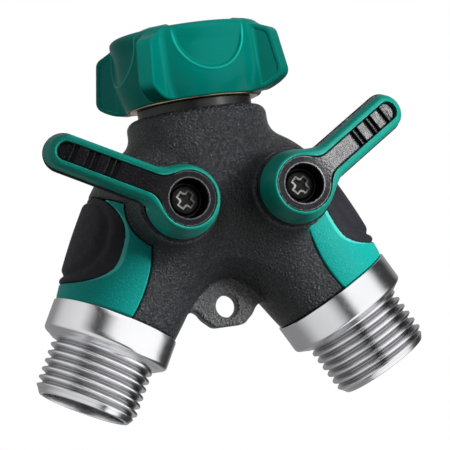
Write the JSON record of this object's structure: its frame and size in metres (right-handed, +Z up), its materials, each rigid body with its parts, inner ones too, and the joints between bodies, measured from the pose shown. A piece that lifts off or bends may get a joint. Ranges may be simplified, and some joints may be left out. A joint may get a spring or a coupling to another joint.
{
  "type": "hose splitter",
  "caption": "Y-shaped garden hose splitter: swivel inlet nut, a quarter-turn ball valve with lever on each leg, male thread outlets and a hanging tab.",
  "frame": {"origin": "centre of the inlet mouth, at the top of the swivel nut", "axes": "+Z up out of the inlet; the legs splay left (-X) and right (+X) and point down; the levers are on the -Y side"},
  "size_m": [0.1016, 0.0623, 0.0984],
  "materials": {
    "casting": "satin cast metal",
    "cover": "fine leather-like grain",
    "panel": "fine leather-like grain",
    "pad": "smooth matte",
    "bright_metal": "turned satin",
    "seal": "smooth",
    "seat": "smooth white",
    "ball": "polished",
    "brass": "machined",
    "lever_black": "satin",
    "lever_green": "satin",
    "screw": "blackened, bright edges",
    "insert": "machined",
    "nut_green": "glossy",
    "washer": "matte"
  },
  "bodies": {
    "body": {"manifold": "casting", "body_cover": "cover", "left_side_panel": "panel", "right_side_panel": "panel", "left_grip_pad": "pad", "right_grip_pad": "pad", "left_outlet": "bright_metal", "right_outlet": "bright_metal", "left_outlet_oring": "seal", "right_outlet_oring": "seal", "left_ball_seats": "seat", "right_ball_seats": "seat", "left_stem_oring": "seal", "right_stem_oring": "seal", "left_gland_nut": "brass", "right_gland_nut": "brass", "swivel_stem": "casting", "swivel_oring": "seal"},
    "swivel_nut": {"nut_insert": "insert", "nut_grip": "nut_green", "inlet_washer": "washer"},
    "left_valve": {"left_lever_core": "lever_black", "left_lever_grip": "lever_green", "left_lever_screw": "screw", "left_valve_stem": "brass", "left_valve_ball": "ball"},
    "right_valve": {"right_lever_core": "lever_black", "right_lever_grip": "lever_green", "right_lever_screw": "screw", "right_valve_stem": "brass", "right_valve_ball": "ball"}
  },
  "joints": [
    {"name": "nut_swivel", "type": "hinge", "parent": "body", "child": "swivel_nut", "pos_m": [0, 0, -0.01], "axis": [0, 0, 1], "continuous": true},
    {"name": "left_lever_turn", "type": "hinge", "parent": "body", "child": "left_valve", "pos_m": [-0.01479, 0, -0.04602], "axis": [0, -1, 0], "range_deg": [0, 90]},
    {"name": "right_lever_turn", "type": "hinge", "parent": "body", "child": "right_valve", "pos_m": [0.01479, 0, -0.04602], "axis": [0, 1, 0], "range_deg": [0, 90]}
  ]
}
